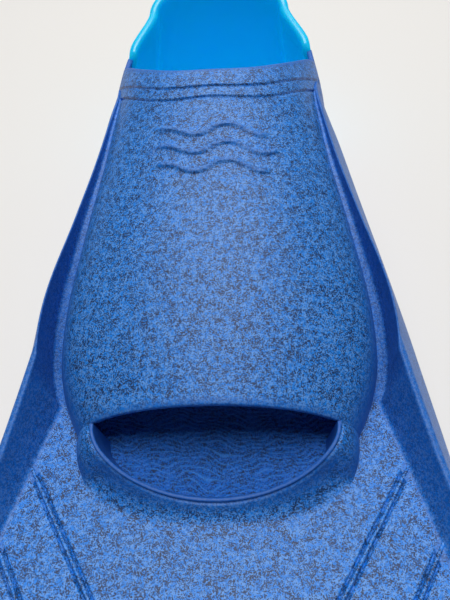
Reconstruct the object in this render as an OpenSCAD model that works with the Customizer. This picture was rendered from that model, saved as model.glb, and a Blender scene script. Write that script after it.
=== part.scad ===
// Swim fin: a closed-heel foot pocket of speckled rubber with a soft heel cup,
// two side rails that grow out of the pocket's flanks, and a ribbed blade.
// +Y runs from the blade's tip towards the heel, +Z is up, the sole lies on Z = 0.

/* [Length] */
// Distance from the middle of the fin to the blade's tip
tip_reach = 220; // [200:1:240]
// Where the blade's first bending line crosses, ahead of the toes
flex_start = -66; // [-70:1:-60]
// Distance between the blade's bending lines
flex_pitch = 46; // [40:1:48]

/* [Blade] */
// Height of the blade's upper face above the floor
web_top = 9; // [8:0.5:11]
// Thickness of the blade at the toes
web_root_t = 4.5; // [4:0.1:5]
// Thickness of the blade at its tip
web_tip_t = 3; // [2.5:0.1:4]
// Height of the ribs above the blade
rib_h = 1.1; // [0.6:0.1:1.6]
// Width of a rib
rib_w = 3; // [2:0.1:4]
// Distance between the ribs, along the fin
rib_pitch = 33.6; // [30:0.2:38]
// Angle between a rib and the fin's length
rib_angle = 34.4; // [30:0.2:40]
// Depth of the curve cut out of the blade's tip
tip_hollow = 9; // [0:1:14]

/* [Foot pocket] */
// Thickness of the pocket's wall
wall = 3.5; // [3:0.1:4.5]
// Thickness of the outsole
sole_t = 5; // [4:0.1:6]
// Depth of the grip grooves in the outsole
groove_d = 1.2; // [0.6:0.1:1.6]
// Distance of the upper toe edge behind the middle of the fin
toe_y = -19.5; // [-21:0.5:-18]
// Half width of the toe opening
toe_half = 44; // [42:0.5:46]
// Where the front of the ankle opening lies
ankle_y = 106.5; // [104:0.5:110]
// Where the speckled rubber ends on the sides and the soft heel begins
seam_y = 170; // [168:1:170]
// Width of the hem round the ankle opening
hem_w = 12.5; // [9:0.5:14]

/* [Heel cup] */
// Thickness of the heel cup's wall
cup_t = 4; // [3.4:0.1:4.4]
// Height of the cup's rim at the back of the heel
cup_back_z = 82; // [78:1:86]
// Furthest point of the heel
heel_y = 220; // [218:1:221]

/* [Bending] */
// Largest bend at each of the blade's three bending lines, in degrees
flex_max = 15; // [8:1:18]

/* [Hidden] */

speckled = "royalblue";
speckled_dark = "steelblue";
soft = "deepskyblue";

gap = 0.3;          // clearance between pieces that move or only touch
tuck = 3;           // how far the pocket's side draws in at the sole
corner_angle = 22.5; // where the ankle edge meets the rear seam
ankle_run = 61.7;   // how far the ankle edge sweeps back from the instep towards the corners
heel_half = 42;     // half width of the heel cup
heel_mid = 194;     // centre of its round back
heel_tuck = 4;      // how far the heel cup draws in at the sole
rim_tuck = 5.5;     // how far it draws in at its rim
flex_z = 7;         // height of the bending lines
strake_gap = 0.6;   // clearance between a strake and the pocket's flank
strake_end = 134;   // where the strakes run out on the pocket's flanks

// Stations along the fin: [y, value]
pocket_half = [[-20, 51], [-12, 55.5], [-4, 59], [8, 62], [28, 62.5], [58, 58.5], [88, 54.5], [118, 53],
               [143, 53], [170, 51.5]];
pocket_height = [[-20, 40], [10, 52], [40, 63.5], [75, 75], [107, 85], [140, 87.5], [170, 92]];
section_power = [[-20, 2], [10, 2.2], [58, 2.4], [88, 2.3], [125, 2.05], [170, 2]];
widest_z = [[-20, 10], [8, 12], [28, 14], [58, 20], [88, 28], [118, 36], [143, 41], [170, 42]];
// The rail's top edge in plan and its height, how far its outer face drops, and the gutter's floor
rail_top_x = [[-220, 98], [-160, 96.5], [-120, 93], [-80, 86.5], [-52, 79.3], [-32, 74.6], [-12, 70.4],
              [8, 66.1], [28, 61.7], [58, 54.9], [88, 48.1], [108, 45.6], [122, 45], [134, 46]];
rail_top_z = [[-220, 11], [-160, 13.2], [-120, 15], [-80, 17], [-52, 19.5], [-32, 22.8], [-12, 28.2],
              [8, 34.7], [28, 41.3], [58, 51.4], [88, 61.6], [108, 66], [122, 66], [134, 64]];
rail_drop = [[-220, 10.2], [-160, 12.4], [-120, 14.2], [-80, 16.2], [-52, 18.7], [-32, 22], [-12, 26],
             [8, 28], [28, 30], [58, 31], [88, 28.5], [108, 20], [122, 10], [134, 3]];
gutter_z = [[-4, 9], [8, 15.5], [28, 27], [58, 44.5], [88, 58], [108, 64], [122, 65], [134, 63.5]];
flare = 0.55;       // how far the rail's outer face spreads for each millimetre it drops
rail_edge = 1.2;    // half width of the rail's top edge
inner_steps = 9;    // flats on a rail's inner side, which follows the pocket's round flank

// ---- curves ----
function mix(a, b, t) = a + (b - a) * t;
function clamp(t) = max(0, min(1, t));
function smooth(t) = let(u = clamp(t)) u * u * (3 - 2 * u);
function slope(t, i) = let(a = max(i - 1, 0), b = min(i + 1, len(t) - 1))
    (t[b][1] - t[a][1]) / (t[b][0] - t[a][0]);
function piece(t, y, i) = i >= len(t) - 2 || y < t[i + 1][0] ? i : piece(t, y, i + 1);
// Smooth curve through a list of stations
function curve(t, y) = let(i = piece(t, y, 0), h = t[i + 1][0] - t[i][0], u = clamp((y - t[i][0]) / h))
    (2 * u * u * u - 3 * u * u + 1) * t[i][1] + (u * u * u - 2 * u * u + u) * h * slope(t, i)
    + (3 * u * u - 2 * u * u * u) * t[i + 1][1] + (u * u * u - u * u) * h * slope(t, i + 1);
function bezier(a, b, c, d, t) = let(s = 1 - t)
    s * s * s * a + 3 * s * s * t * b + 3 * s * t * t * c + t * t * t * d;
function steps(a, b, n) = [for (i = [0:n]) mix(a, b, i / n)];

// ---- the pocket's outer surface ----
// Point of the cross-section at y: angle 0 is the widest place and 90 the ridge, and below 0 the side
// tucks in to the sole
function pocket_point(y, angle, inset = 0) = let(
    w = curve(pocket_half, y) - inset, h = curve(pocket_height, y) - inset, e = 2 / curve(section_power, y),
    z0 = curve(widest_z, y), s = -angle / 90)
    angle < 0 ? [w - tuck * s * s, y, mix(z0, sole_t + 0.02, s)]
              : [w * pow(max(cos(angle), 0), e), y, z0 + (h - z0) * pow(sin(angle), e)];
// Half width of the pocket at a height
function pocket_x(y, z) = let(
    w = curve(pocket_half, y), h = curve(pocket_height, y),
    p = curve(section_power, y), z0 = curve(widest_z, y))
    z < z0 ? w - tuck * pow((z0 - z) / (z0 - sole_t), 2)
           : w * pow(1 - pow((z - z0) / (h - z0), p), 1 / p);
// Height of the pocket's upper side at x
function pocket_z(x, y) = let(
    w = curve(pocket_half, y), h = curve(pocket_height, y),
    p = curve(section_power, y), z0 = curve(widest_z, y))
    z0 + (h - z0) * pow(1 - pow(abs(x) / w, p), 1 / p);
// Angle at which the cross-section reaches a height
function pocket_angle(y, z) = let(
    h = curve(pocket_height, y), p = curve(section_power, y), z0 = curve(widest_z, y))
    z < z0 ? -90 * (z0 - z) / (z0 - sole_t - 0.02) : asin(pow((z - z0) / (h - z0), p / 2));
// Rear edge of the speckled rubber: across the instep to the corners, then back to the straight seam
function ankle_edge(angle) = angle <= corner_angle ? seam_y : ankle_y + ankle_run * pow(cos(angle), 2.43);
// The hem's width, which grows down the sides
function hem_reach(angle, width) = width * (1 + 1.05 * pow(cos(angle), 1.5));
function mirrored(p) = [-p[0], p[1], p[2]];
// The same point on the right for angles to 90 and on the left past 90
function edge_angle(a) = a > 90 ? 180 - a : a;
function arch_point(y, a, inset = 0) = let(p = pocket_point(y, edge_angle(a), inset)) a > 90 ? mirrored(p) : p;

// ---- toe wall and lip ----
// The foot of the toe wall and its lip; turn runs from -90 on the left to 90 on the right
function toe_foot(turn, z, inset = 0) = [(50 - inset) * sin(turn), toe_y - (27 - inset) * cos(turn), z];
function lip_point(turn) = [toe_half * sin(turn), toe_y - 22.5 * cos(turn), 14 + 10 * sin(turn) * sin(turn)];
function rim_point(x) = [x, toe_y, pocket_z(x, toe_y)];

// ---- rails ----
function web_half(y) = let(s = max(0, -4 - y)) 62 + 0.254 * s - 0.000577 * s * s;
function web_bottom(y) = web_top - mix(web_root_t, web_tip_t, clamp((-20 - y) / (tip_reach - 20)));
// Where a bending line leaves room: the face leans away from the line, above and below
function face_y(line, side, z) = line + side * (gap / 2 + abs(z - flex_z) * tan(flex_max / 2 + 0.8));
// Cross-section of the rail on the blade, from the web's upper face over the top edge to its under side
function rail_section(y) = let(
    tx = curve(rail_top_x, y), tz = curve(rail_top_z, y), ox = tx + flare * tz, ix = web_half(y))
    concat([[ix, web_top], [mix(ix, tx, 0.45), mix(web_top, tz, 0.5)],
            [tx - rail_edge, tz - 0.5], [tx, tz], [tx + rail_edge, tz - 0.7],
            [ox, 1], [ox - 1.5, 0], [max(ix + 1, ox - 11), 0]],
           [for (t = steps(0, 1 - 1 / inner_steps, inner_steps - 1)) [ix, mix(web_bottom(y), web_top, t)]]);
// How far out a strake's face stands at a height: at least a little clear of the pocket's flank
function clear_x(y, z, x) = max(x, pocket_x(y, z) + strake_gap + 0.5);
// Cross-section of the strake on the pocket's flank, with the same corners as rail_section
function strake_section(y) = let(
    tx = curve(rail_top_x, y), tz = curve(rail_top_z, y), d = curve(rail_drop, y), gz = curve(gutter_z, y),
    out = smooth((strake_end - y) / 55), oz = max(1, tz - d), uz = max(0, oz - mix(3, 9, out)),
    low = max(sole_t + 0.02, uz - mix(2, 4, out)), a_low = pocket_angle(y, low), a_gutter = pocket_angle(y, gz),
    gx = pocket_point(y, a_gutter, -strake_gap)[0], ox = clear_x(y, oz, tx + flare * d))
    concat([[gx, gz], [mix(gx, tx, 0.7), mix(gz, tz, 0.5)],
            [max(gx + 0.4, tx - rail_edge), tz - 0.5], [max(gx + 0.6, tx), tz],
            [max(gx + 1, tx + rail_edge), tz - 0.7],
            [ox, oz], [clear_x(y, max(0, oz - 1.5), ox - 1.5), max(0, oz - 1.5)],
            [clear_x(y, max(uz, low), mix(pocket_x(y, low) + strake_gap, ox, 0.45)), uz]],
           [for (t = steps(0, 1 - 1 / inner_steps, inner_steps - 1))
               let(p = pocket_point(y, mix(a_low, a_gutter, t), -strake_gap)) [p[0], p[2]]]);

// ---- solids from grids of points ----
function flat(rows) = [for (r = rows) each r];
function quad(a, b, c, d) = [[a, b, c], [a, c, d]];
// Closed solid between two grids of the same size, such as an outer and an inner skin
module skin(outer, inner) {
    n = len(outer);
    m = len(outer[0]);
    o = n * m;
    function at(i, j) = i * m + j;
    polyhedron(concat(flat(outer), flat(inner)), flat(concat(
        [for (i = [0:n - 2], j = [0:m - 2]) quad(at(i, j), at(i, j + 1), at(i + 1, j + 1), at(i + 1, j))],
        [for (i = [0:n - 2], j = [0:m - 2])
            quad(o + at(i, j), o + at(i + 1, j), o + at(i + 1, j + 1), o + at(i, j + 1))],
        [for (i = [0:n - 2]) quad(at(i, 0), at(i + 1, 0), o + at(i + 1, 0), o + at(i, 0))],
        [for (i = [0:n - 2]) quad(at(i + 1, m - 1), at(i, m - 1), o + at(i, m - 1), o + at(i + 1, m - 1))],
        [for (j = [0:m - 2]) quad(at(0, j + 1), at(0, j), o + at(0, j), o + at(0, j + 1))],
        [for (j = [0:m - 2]) quad(at(n - 1, j), at(n - 1, j + 1), o + at(n - 1, j + 1), o + at(n - 1, j))])));
}
// Closed solid through a row of closed sections that run the same way round
module loft(sections) {
    n = len(sections);
    m = len(sections[0]);
    function at(i, j) = i * m + j % m;
    function middle(s) = [for (k = [0:2]) [for (p = s) p[k]] * [for (p = s) 1 / m]];
    points = concat(flat(sections), [middle(sections[0]), middle(sections[n - 1])]);
    polyhedron(points, flat(concat(
        [for (i = [0:n - 2], j = [0:m - 1]) quad(at(i, j), at(i + 1, j), at(i + 1, j + 1), at(i, j + 1))],
        [for (j = [0:m - 1]) [[at(0, j), at(0, j + 1), n * m]]],
        [for (j = [0:m - 1]) [[at(n - 1, j + 1), at(n - 1, j), n * m + 1]]])));
}
function placed(section, ys) = [for (k = [0:len(section) - 1]) [section[k][0], ys[k], section[k][1]]];

// ---- outlines in plan ----
seat_y = 150;       // where the footbed meets the soft heel seat
toe_wall_t = 5.2;   // thickness of the toe wall at its foot

toe_turns = [for (i = [-12:12]) i * 7.5];
function side_line(inset) = [for (y = [-12, -4, 8, 28, 58, 88, 125, 150, 168])
    [curve(pocket_half, y) - tuck - inset, y]];
// The heel cup in plan: a round back that flows into the pocket's sides
function heel_plan(s, inset) = let(
    side = abs(s), sign = s < 0 ? -1 : 1, u = (side - 0.5) * 2,
    rear = seam_y + gap, w = curve(pocket_half, rear),
    p = side < 0.5
        ? [(heel_half - inset) * sin(side * 180), heel_mid + (heel_y - heel_mid - inset) * cos(side * 180)]
        : [bezier(heel_half, heel_half + 1.5, w - 1.5, w, u) - inset, bezier(heel_mid, 187, 179, rear, u)])
    [p[0] * sign, p[1]];
function sole_outline(inset) = concat(
    [for (a = toe_turns) let(p = toe_foot(a, 0, inset)) [p[0], p[1]]],
    side_line(inset),
    [for (i = [10:-1:-10]) heel_plan(i / 10, heel_tuck + inset)],
    [for (i = [len(side_line(inset)) - 1:-1:0]) let(p = side_line(inset)[i]) [-p[0], p[1]]]);

module outsole() {
    color(speckled_dark) difference() {
        linear_extrude(sole_t) polygon(sole_outline(0));
        for (y = [-28:9:52], side = [-1, 1]) groove(y, side, 46);
        for (y = [150:9:195], side = [-1, 1]) groove(y, side, 30);
    }
}
// One shallow slanting groove across half of the sole
module groove(y, side, reach) {
    translate([side, y, -1]) rotate([0, 0, side > 0 ? 14 : 166]) translate([0, -1, 0])
        cube([reach, 2, 1 + groove_d]);
}
module footbed() {
    half = [for (p = side_line(wall + 0.5)) if (p[1] < seat_y) p];
    end_x = half[len(half) - 1][0] - 0.5;
    color(speckled) translate([0, 0, sole_t + 0.02]) linear_extrude(web_top - sole_t) polygon(concat(
        [for (a = toe_turns) let(p = toe_foot(a, 0, toe_wall_t + 0.3)) [p[0], p[1]]],
        half, [[end_x, seat_y - 0.2], [-end_x, seat_y - 0.2]],
        [for (i = [len(half) - 1:-1:0]) [-half[i][0], half[i][1]]]));
}
module heel_seat() {
    seat_x = curve(pocket_half, seat_y) - tuck - wall - 0.5;
    color(soft) translate([0, 0, sole_t + 0.02]) linear_extrude(web_top - sole_t) polygon(concat(
        [[seat_x, seat_y], [seat_x - 1, seam_y - 4]],
        [for (i = [10:-1:-10]) heel_plan(i / 10, cup_t + heel_tuck + 0.4)],
        [[1 - seat_x, seam_y - 4], [-seat_x, seat_y]]));
}
module toe_wall() {
    turns = [for (a = toe_turns) a * 0.995];
    crest = 1 - 2.6 / 36; // the crest's inner edge, as a share of its outer one
    function outer(turn, t) = let(f = toe_foot(turn, web_top), l = lip_point(turn), c = 1 - cos(90 * t))
        [mix(f[0], l[0], c), mix(f[1], l[1], c), mix(f[2], l[2], sin(90 * t))];
    function inner(turn, t) = let(l = lip_point(turn), f = toe_foot(turn, web_top + 0.3, toe_wall_t))
        [mix(f[0], l[0] * crest, t), mix(f[1], toe_y + (l[1] - toe_y) * crest, t), mix(f[2], l[2], t)];
    color(speckled) skin(
        [for (a = turns) concat([toe_foot(a, sole_t + 0.02)], [for (t = steps(0, 1, 4)) outer(a, t)])],
        [for (a = turns) concat([toe_foot(a, sole_t + 0.02, toe_wall_t)],
                                [for (t = steps(0, 1, 4)) inner(a, t)])]);
}
// A rounded bead along the whole edge of the toe opening
module toe_lip() {
    bead_r = 1.3;
    lower = [for (a = steps(-90, 90, 28)) lip_point(a)];
    upper = [for (x = steps(toe_half, -toe_half, 24)) rim_point(x)];
    path = concat([for (p = lower) [p[0], min(p[1], toe_y - 1.5), p[2] + bead_r]],
                  [for (i = [1:23]) upper[i] - [0, 1.8, 0.4]]);
    n = len(path);
    function ring(i) = let(
        t = path[(i + 1) % n] - path[(i + n - 1) % n],
        d = t / norm(t), s = [d[1], -d[0], 0] / norm([d[0], d[1]]),
        u = cross(s, d))
        [for (a = [0:60:300]) path[i] + (bead_r - 0.05) * (cos(a) * s + sin(a) * u)];
    rings = [for (i = [0:n - 1]) ring(i)];
    points = flat(rings);
    color(speckled) polyhedron(points, flat([for (i = [0:n - 1], j = [0:5]) let(k = (i + 1) % n)
        quad(i * 6 + j, i * 6 + (j + 1) % 6, k * 6 + (j + 1) % 6, k * 6 + j)]));
}
arch_angles = concat([-90, -60, -30], steps(0, 180, 24), [210, 240, 270]);
// Row of points across the pocket, a share t of the way from the toe edge to the ankle edge
function pocket_row(t, inset, from = toe_y) = [for (a = arch_angles) let(
    left = a > 90, e = left ? 180 - a : a, y = mix(from, ankle_edge(e), t), p = pocket_point(y, e, inset))
    left ? mirrored(p) : p];
module instep_upper() {
    ts = steps(0, 1, 14);
    color(speckled) skin([for (t = ts) pocket_row(t, 0)], [for (t = ts) pocket_row(t, wall)]);
}
// The hem stands a little proud of the pocket and follows the ankle edge
module ankle_hem() {
    angles = steps(38, 142, 18);
    function row(share, out) = [for (a = angles) let(e = edge_angle(a))
        arch_point(ankle_edge(e) - 0.2 - hem_reach(e, hem_w) * share, a, -out)];
    color(speckled) skin([row(1, 0.9), row(0.66, 1.1), row(0.58, 1.1), row(0, 1.2)],
                         [row(1, 0.12), row(0.66, 0.12), row(0.58, 0.12), row(0, 0.12)]);
}
// Three raised waves in the middle of the instep
module wave_badge() {
    function line(k, x) = 70 + 9 * k + 2.4 * sin(x * 14 + 40 * k);
    function row(k, x, off, up) = [x, line(k, x) + off, pocket_z(x, line(k, x) + off) + up];
    function rows(k, up) = let(half = 26 - 3 * abs(k))
        [for (off = [1.3, -1.3]) [for (x = steps(-half, half, 24)) row(k, x, off, up)]];
    color(speckled) for (k = [-1:1]) skin(rows(k, 0.8), rows(k, 0.1));
}
function strake_blend(y) = let(
    t = smooth((y + 14) / 16), a = rail_section(min(y, 0)), b = strake_section(max(y, -4)))
    [for (k = [0:len(a) - 1]) mix(a[k], b[k], t)];
// How near the strake's inner side comes to the middle of the fin
function strake_inside(y) = min([for (p = strake_blend(y)) p[0]]);
module strake() {
    ys = concat([flex_start], [-52, -40, -28, -20, -14, -10, -6, -2, 2, 8], steps(18, 126, 11), [strake_end]);
    loft([for (y = ys) let(s = strake_blend(y))
        placed(s, [for (p = s) y == flex_start ? face_y(flex_start, 1, p[1]) : y])]);
}
module right_strake() color(speckled_dark) strake();
module left_strake() color(speckled_dark) mirror([1, 0, 0]) strake();

module blade_root() {
    rear = -4;
    side = [for (y = [rear, -6, -8, -10, -12, -14, -20, -34, -50, flex_start + 1])
        [strake_inside(y) - gap / 2, y]];
    color(speckled) translate([0, 0, web_top - web_root_t]) linear_extrude(web_root_t) difference() {
        polygon(concat(side, [for (i = [len(side) - 1:-1:0]) [-side[i][0], side[i][1]]]));
        polygon(concat([for (a = toe_turns) let(p = toe_foot(a, 0, -gap)) [p[0], p[1]]],
            [for (y = [-16:4:0]) [curve(pocket_half, y) + gap, y]],
            [for (y = [0:-4:-16]) [-curve(pocket_half, y) - gap, y]]));
    }
}
// All the ribs of the blade as one pattern in plan: arrowheads that point at the tip
module rib_pattern(from, to) {
    function rib_x(k, y) = 67.8 + tan(rib_angle) * (y + 28.5 + k * rib_pitch);
    function foot_y(k) = -28.5 - k * rib_pitch - 67.8 / tan(rib_angle);
    half_y = rib_w / 2 / sin(rib_angle);
    intersection() {
        union() for (k = [0:4], side = [-1, 1]) scale_x(side) polygon([
            [1.5, foot_y(k) + 1.5 / tan(rib_angle) + half_y], [rib_x(k, -4), -4 + half_y],
            [rib_x(k, -4), -4 - half_y], [1.5, foot_y(k) + 1.5 / tan(rib_angle) - half_y]]);
        polygon(concat([for (y = steps(from, to, 6)) [web_half(y) - 1.5, y]],
                       [for (y = steps(to, from, 6)) [1.5 - web_half(y), y]]));
    }
}
module scale_x(side) {
    if (side > 0) children();
    else mirror([1, 0, 0]) children();
}
module ribs(from, to) {
    translate([0, 0, web_top]) linear_extrude(rib_h) rib_pattern(from, to);
}
module blade_root_ribs() {
    color(speckled_dark) difference() {
        ribs(flex_start + 1, -26);
        translate([0, 0, web_top - 1]) linear_extrude(rib_h + 2)
            polygon([for (a = toe_turns) let(p = toe_foot(a, 0, -4)) [p[0], p[1]]]);
    }
}

function line_y(k) = flex_start - flex_pitch * k;
function tip_y(x) = -tip_reach + tip_hollow * pow(cos(min(90, abs(x) / 100 * 90)), 1.5);
// A stretch of the blade's sheet between two bending lines; the last one ends in the curved tip
module web_stretch(k) {
    front = k == 2;
    xs = steps(-1, 1, 16);
    ys = steps(0, 1, 5);
    function spot(u, v, above) = let(
        y0 = line_y(k), y1 = front ? tip_y(u * web_half(-tip_reach + 3)) + 0.5 : line_y(k + 1),
        y = mix(y0, y1, v),
        z = above ? web_top : web_bottom(y))
        [u * (web_half(y) - gap / 2), v == 0 ? face_y(y0, -1, z) : v == 1 && !front ? face_y(y1, 1, z) : y, z];
    function sheet(above) = [for (v = ys) [for (u = xs) spot(u, v, above)]];
    color(speckled) skin(sheet(true), sheet(false));
}
module rail_stretch(k) {
    front = k == 2;
    y0 = line_y(k);
    y1 = front ? -tip_reach : line_y(k + 1);
    color(speckled_dark) loft([for (v = steps(1, 0, 5)) let(y = mix(y0, y1, v), s = rail_section(y))
        placed(s, [for (p = s) v == 0 ? face_y(y0, -1, p[1]) : v == 1 && !front ? face_y(y1, 1, p[1]) : y])]);
}
module rib_stretch(k) {
    color(speckled_dark) ribs(k == 2 ? -tip_reach + tip_hollow + 4 : line_y(k + 1) + 1, line_y(k) - 1);
}
module blade_base() web_stretch(0);
module blade_mid() web_stretch(1);
module blade_tip() web_stretch(2);
module right_rail_base() rail_stretch(0);
module right_rail_mid() rail_stretch(1);
module right_rail_tip() rail_stretch(2);
module left_rail_base() mirror([1, 0, 0]) rail_stretch(0);
module left_rail_mid() mirror([1, 0, 0]) rail_stretch(1);
module left_rail_tip() mirror([1, 0, 0]) rail_stretch(2);
module blade_base_ribs() rib_stretch(0);
module blade_mid_ribs() rib_stretch(1);
module blade_tip_ribs() rib_stretch(2);

// ---- heel cup ----
cup_split = 0.66; // share of the way round at which the cup's folding back meets its fixed sides
corner_z = pocket_point(seam_y, corner_angle)[2];
function rim_z(s) = let(back = clamp((heel_plan(s, 0)[1] - seam_y) / (heel_y - seam_y)))
    mix(corner_z, cup_back_z, pow(back, 0.9));
// The wall starts with the pocket's own section, bulges over the heel bone, and draws in at sole and rim
function cup_inset(s, v) = let(
    z = mix(sole_t + 0.4, rim_z(s), v), round = 1 - smooth((abs(s) - 0.45) / 0.55),
    at_seam = curve(pocket_half, seam_y) - pocket_x(seam_y, min(z, corner_z)))
    mix(at_seam, heel_tuck * pow(1 - min(1, v / 0.35), 2) + rim_tuck * smooth((v - 0.4) / 0.6), round);
function cup_point(s, v, inset) = let(p = heel_plan(s, cup_inset(s, v) + inset))
    [p[0], p[1], mix(sole_t + 0.4, rim_z(s), v)];
module cup_wall(from, to, n) {
    vs = [0, 0.06, 0.15, 0.3, 0.5, 0.75, 1];
    function face(inset) = [for (s = steps(from, to, n)) [for (v = vs) cup_point(s, v, inset)]];
    color(soft) skin(face(0), face(cup_t));
}
module heel_cup() cup_wall(cup_split - 0.01, 0.01 - cup_split, 24);
module heel_side_right() cup_wall(1, cup_split, 6);
module heel_side_left() cup_wall(-cup_split, -1, 6);

outsole();
footbed();
heel_seat();
toe_wall();
toe_lip();
instep_upper();
ankle_hem();
wave_badge();
left_strake();
right_strake();
blade_root();
blade_root_ribs();
heel_side_left();
heel_side_right();
heel_cup();
blade_base();
left_rail_base();
right_rail_base();
blade_base_ribs();
blade_mid();
left_rail_mid();
right_rail_mid();
blade_mid_ribs();
blade_tip();
left_rail_tip();
right_rail_tip();
blade_tip_ribs();
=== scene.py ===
# %% [markdown]
# # A swim fin in two rubbers
# This lesson builds a short training fin: a foot pocket and blade in speckled recycled rubber and a
# softer, plain heel cup. The CAD frame says where each piece is and how the blade and heel bend; here
# every surface is worked out with numpy as a function of two parameters, and then gets its finish.

# %% The frame
import bpy
import bmesh
import math
import numpy as np
from mathutils import Matrix, Vector

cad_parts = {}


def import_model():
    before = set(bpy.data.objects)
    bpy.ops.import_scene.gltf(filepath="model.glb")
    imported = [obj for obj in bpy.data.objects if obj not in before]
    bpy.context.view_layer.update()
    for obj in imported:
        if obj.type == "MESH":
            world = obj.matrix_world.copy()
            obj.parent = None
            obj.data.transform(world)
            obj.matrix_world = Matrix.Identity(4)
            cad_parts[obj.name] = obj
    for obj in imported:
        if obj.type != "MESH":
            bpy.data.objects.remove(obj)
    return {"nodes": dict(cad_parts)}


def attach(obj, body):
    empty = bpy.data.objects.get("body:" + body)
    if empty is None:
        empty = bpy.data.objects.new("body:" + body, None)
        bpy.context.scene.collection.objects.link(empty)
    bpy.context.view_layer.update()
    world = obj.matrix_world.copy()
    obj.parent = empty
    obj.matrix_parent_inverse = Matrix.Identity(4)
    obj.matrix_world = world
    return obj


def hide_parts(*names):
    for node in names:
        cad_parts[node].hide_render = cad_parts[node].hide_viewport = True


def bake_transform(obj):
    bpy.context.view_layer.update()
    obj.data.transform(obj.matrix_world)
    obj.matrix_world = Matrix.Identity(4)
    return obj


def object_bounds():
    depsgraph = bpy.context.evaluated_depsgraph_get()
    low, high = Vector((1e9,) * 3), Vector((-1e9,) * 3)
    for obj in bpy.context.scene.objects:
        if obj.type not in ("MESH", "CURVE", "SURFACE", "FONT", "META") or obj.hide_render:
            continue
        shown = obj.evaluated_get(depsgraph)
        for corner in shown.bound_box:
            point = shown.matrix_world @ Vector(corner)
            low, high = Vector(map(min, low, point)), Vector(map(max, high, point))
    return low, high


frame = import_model()
cad_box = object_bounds()
MM = 0.001

# %% [markdown]
# ## Curves through stations
# A moulded fin has no straight lines: its width, height and rail change slowly from tip to heel. The
# shapes are kept as a few stations along the fin, in millimetres, with a smooth curve through them,
# because a handful of round numbers is easy to read and to change.

# %% Curves
def curve(stations, y):
    """Cubic Hermite curve through [(y, value), ...]; each slope is the chord between the neighbours."""
    t = np.asarray(stations, float)
    y = np.asarray(y, float)
    ys, vs = t[:, 0], t[:, 1]
    before = np.maximum(np.arange(len(ys)) - 1, 0)
    after = np.minimum(np.arange(len(ys)) + 1, len(ys) - 1)
    slopes = (vs[after] - vs[before]) / (ys[after] - ys[before])
    i = np.clip(np.searchsorted(ys, y, side="right") - 1, 0, len(ys) - 2)
    h = ys[i + 1] - ys[i]
    u = np.clip((y - ys[i]) / h, 0, 1)
    return ((2 * u**3 - 3 * u**2 + 1) * vs[i] + (u**3 - 2 * u**2 + u) * h * slopes[i]
            + (3 * u**2 - 2 * u**3) * vs[i + 1] + (u**3 - u**2) * h * slopes[i + 1])


def smooth(t):
    """0 below 0, 1 above 1, and an S-shaped step in between."""
    u = np.clip(t, 0, 1)
    return u * u * (3 - 2 * u)


def mix(a, b, t):
    """a at t = 0, b at t = 1."""
    return a + (b - a) * t


# %% Stations of the fin, in millimetres
WEB_TOP, WALL, TUCK, SOLE_T = 9.0, 3.5, 3.0, 5.0
TOE_Y, ANKLE_Y, SEAM_Y, HEEL_Y, TIP_Y = -19.5, 106.5, 170.0, 220.0, -220.0
CORNER = math.radians(22.5)
POCKET_HALF = [(-20, 51), (-12, 55.5), (-4, 59), (8, 62), (28, 62.5), (58, 58.5), (88, 54.5), (118, 53),
               (143, 53), (170, 51.5)]
POCKET_HEIGHT = [(-20, 40), (10, 52), (40, 63.5), (75, 75), (107, 85), (140, 87.5), (170, 92)]
SECTION_POWER = [(-20, 2), (10, 2.2), (58, 2.4), (88, 2.3), (125, 2.05), (170, 2)]
WIDEST_Z = [(-20, 10), (8, 12), (28, 14), (58, 20), (88, 28), (118, 36), (143, 41), (170, 42)]
RAIL_TOP_X = [(-220, 98), (-160, 96.5), (-120, 93), (-80, 86.5), (-52, 79.3), (-32, 74.6), (-12, 70.4),
              (8, 66.1), (28, 61.7), (58, 54.9), (88, 48.1), (108, 45.6), (122, 45), (134, 45.8)]
RAIL_TOP_Z = [(-220, 11), (-160, 13.2), (-120, 15), (-80, 17), (-52, 19.5), (-32, 22.8), (-12, 28.2),
              (8, 34.7), (28, 41.3), (58, 51.4), (88, 61.6), (108, 66), (122, 66), (134, 64)]
RAIL_DROP = [(-220, 10.2), (-160, 12.4), (-120, 14.2), (-80, 16.2), (-52, 18.7), (-32, 22), (-12, 26),
             (8, 28), (28, 30), (58, 31), (88, 28.5), (108, 20), (122, 10), (134, 3)]
GUTTER_Z = [(-4, 9), (8, 15.5), (28, 27), (58, 44.5), (88, 58), (108, 64), (122, 65), (134, 63.5)]
GUTTER_START = -4.0
GUTTER_WIDTH = [(-4, 4.2), (28, 3.6), (58, 2.6), (88, 1.6), (108, 1.0), (134, 0.4)]
FLARE = 0.55
STRAKE_END = 134.0

# %% [markdown]
# ## From grids to meshes
# Every piece below is a grid of points. A grid that closes on itself one way is a tube, and the two
# open ends of the tube are capped, so each piece is one closed skin, as a rubber moulding is. The sign
# of the enclosed volume tells whether the faces point outwards.

# %% Mesh helpers
def tube_faces(n, m):
    """Quads of an n by m grid whose rows (length m) close on themselves, and a cap at each end."""
    i, j = np.meshgrid(np.arange(n - 1), np.arange(m), indexing="ij")
    k = (j + 1) % m
    quads = np.stack([i * m + j, (i + 1) * m + j, (i + 1) * m + k, i * m + k], -1).reshape(-1, 4)
    caps = [list(range(m)), list(range((n - 1) * m, n * m))[::-1]]
    return quads.tolist() + caps


def volume(points, faces):
    """Signed volume: each face is a fan of triangles, each triangle a tetrahedron to the origin."""
    total = 0.0
    for size in {len(f) for f in faces}:
        group = np.array([f for f in faces if len(f) == size])
        p = points[group]
        for c in range(1, size - 1):
            total += np.einsum("ij,ij->i", p[:, 0], np.cross(p[:, c], p[:, c + 1])).sum() / 6
    return total


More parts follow.
